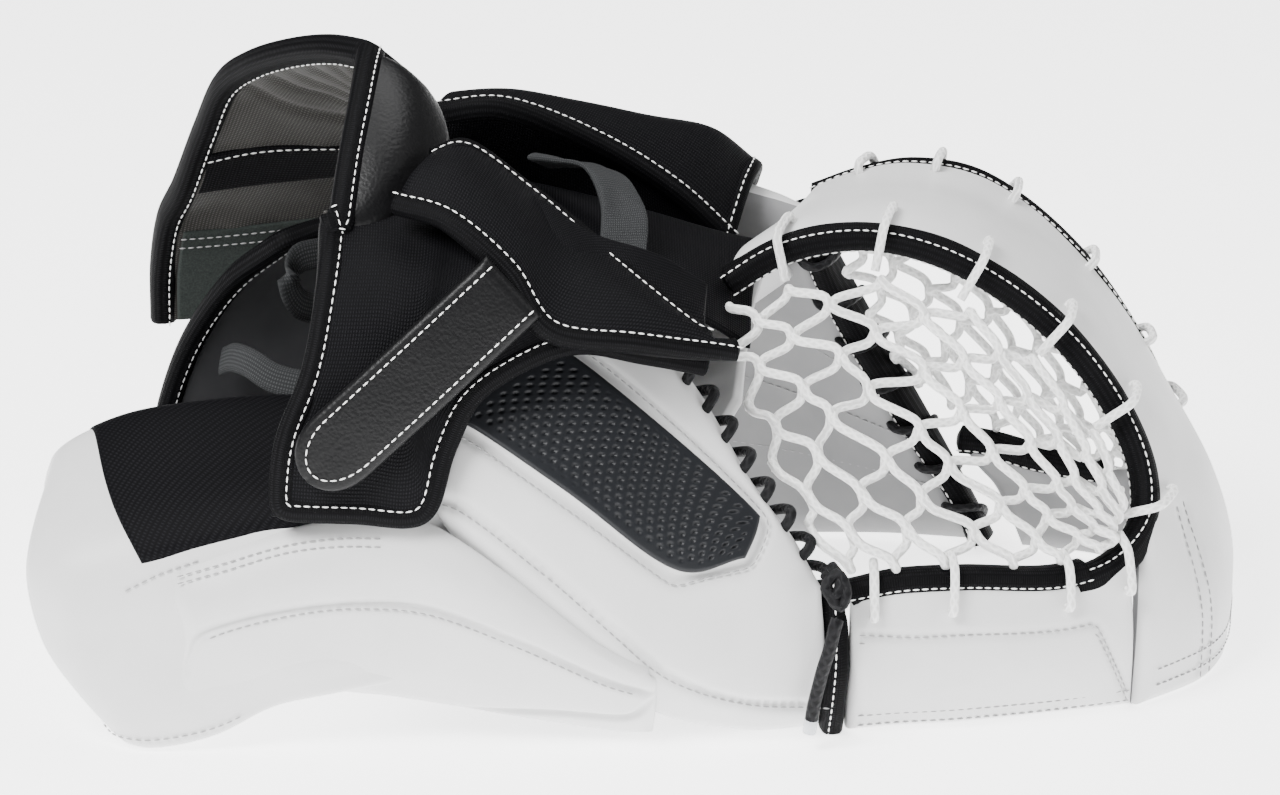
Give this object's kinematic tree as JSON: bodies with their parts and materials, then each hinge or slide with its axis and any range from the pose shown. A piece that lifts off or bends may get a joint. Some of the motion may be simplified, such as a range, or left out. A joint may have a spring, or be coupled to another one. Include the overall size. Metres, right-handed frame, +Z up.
{
  "type": "goalie catch glove",
  "caption": "Ice hockey goalie catch glove lying pocket mouth down: padded cuff, strapped wrist wrap, thumb and finger guards, rim and laced T web.",
  "frame": {"origin": "middle of the bounding box on the floor the pocket mouth rests on", "axes": "+X from the cuff to the tip of the T web, -Y the thumb side, +Y the finger side, +Z up, away from the pocket mouth"},
  "size_m": [0.426, 0.2358, 0.2251],
  "materials": {
    "white_leather": "smooth white synthetic leather, fine grain",
    "black_leather": "grained black synthetic leather",
    "dimpled_black": "moulded black panel with rows of dimples",
    "black_nylon": "black ballistic nylon, twill weave",
    "black_binding": "black woven binding tape with white stitching",
    "grey_lining": "grey-brown woven lining",
    "grey_webbing": "grey ribbed webbing",
    "loop_patch": "brushed loop pile of a hook-and-loop closure",
    "white_lining": "white pocket leather",
    "foam": "closed-cell foam",
    "plastic": "flat plastic stiffener",
    "white_lace": "white braided lace",
    "black_lace": "black braided lace",
    "aglet_plastic": "clear plastic lace end"
  },
  "bodies": {
    "hand": {"palm_leather": "white_leather", "palm_lining": "grey_lining", "hand_liner": "black_nylon", "hand_webbing": "grey_webbing", "back_pad_nylon": "black_nylon", "back_pad_foam": "foam", "back_pad_lining": "black_nylon", "back_pad_binding": "black_binding", "back_pad_end_trim": "black_binding", "gauntlet_nylon": "black_nylon", "gauntlet_lining": "grey_lining", "gauntlet_binding": "black_binding", "gauntlet_loop_patch": "loop_patch", "tongue_nylon": "black_nylon", "tongue_leather_lining": "black_leather", "tongue_binding": "black_binding", "cuff_leather": "white_leather", "cuff_foam": "foam", "cuff_lining": "black_nylon", "t_web_leather": "white_leather", "t_web_foam": "foam", "t_web_lining": "white_lining", "t_web_near_binding": "black_binding", "t_web_far_binding": "black_binding", "near_net": "white_lace", "far_net": "white_lace"},
    "thumb": {"thumb_leather": "white_leather", "thumb_foam": "foam", "thumb_stiffener": "plastic", "thumb_lining": "white_lining", "thumb_panel": "dimpled_black", "thumb_break_binding": "black_binding", "heel_leather": "white_leather", "heel_foam": "foam", "break_lace": "black_lace", "lace_tail": "black_lace", "lace_aglet": "aglet_plastic"},
    "near_rim": {"near_rim_leather": "white_leather", "near_rim_foam": "foam", "near_rim_lining": "white_lining", "near_rim_binding": "black_binding"},
    "finger": {"finger_leather": "white_leather", "finger_foam": "foam", "finger_stiffener": "plastic", "finger_lining": "white_lining", "finger_break_binding": "black_binding"},
    "far_rim": {"far_rim_leather": "white_leather", "far_rim_foam": "foam", "far_rim_lining": "white_lining", "far_rim_binding": "black_binding"},
    "wrist_flap": {"flap_nylon": "black_nylon", "flap_lining": "grey_lining", "flap_leather_roll": "black_leather", "flap_binding": "black_binding", "hand_band_nylon": "black_nylon", "hand_band_foam": "foam", "hand_band_lower_binding": "black_binding", "hand_band_upper_binding": "black_binding"},
    "wrist_strap": {"strap_leather": "black_leather", "strap_hook_patch": "loop_patch"}
  },
  "joints": [
    {"name": "thumb_fold", "type": "hinge", "parent": "hand", "child": "thumb", "pos_m": [-0.068, -0.095, 0.0841], "axis": [0.8281, 0.2819, 0.4845], "range_deg": [0, 8]},
    {"name": "near_rim_fold", "type": "hinge", "parent": "hand", "child": "near_rim", "pos_m": [0.18, -0.065, 0.0291], "axis": [0, 0, -1], "range_deg": [0, 8]},
    {"name": "finger_fold", "type": "hinge", "parent": "hand", "child": "finger", "pos_m": [-0.068, 0.101, 0.0911], "axis": [-0.8505, 0.2352, -0.4705], "range_deg": [0, 8]},
    {"name": "far_rim_fold", "type": "hinge", "parent": "hand", "child": "far_rim", "pos_m": [0.188, 0.075, 0.0191], "axis": [0, 0, 1], "range_deg": [0, 12]},
    {"name": "flap_open", "type": "hinge", "parent": "hand", "child": "wrist_flap", "pos_m": [-0.078, -0.015, 0.2151], "axis": [-1, 0, 0], "range_deg": [0, 18]},
    {"name": "strap_peel", "type": "hinge", "parent": "wrist_flap", "child": "wrist_strap", "pos_m": [-0.045, -0.112, 0.1551], "axis": [-0.6749, 0, 0.7379], "range_deg": [0, 100]}
  ],
  "couplings": [
    {"joint": "near_rim_fold", "follows": "thumb_fold", "ratio": 1},
    {"joint": "far_rim_fold", "follows": "finger_fold", "ratio": 1.5}
  ]
}
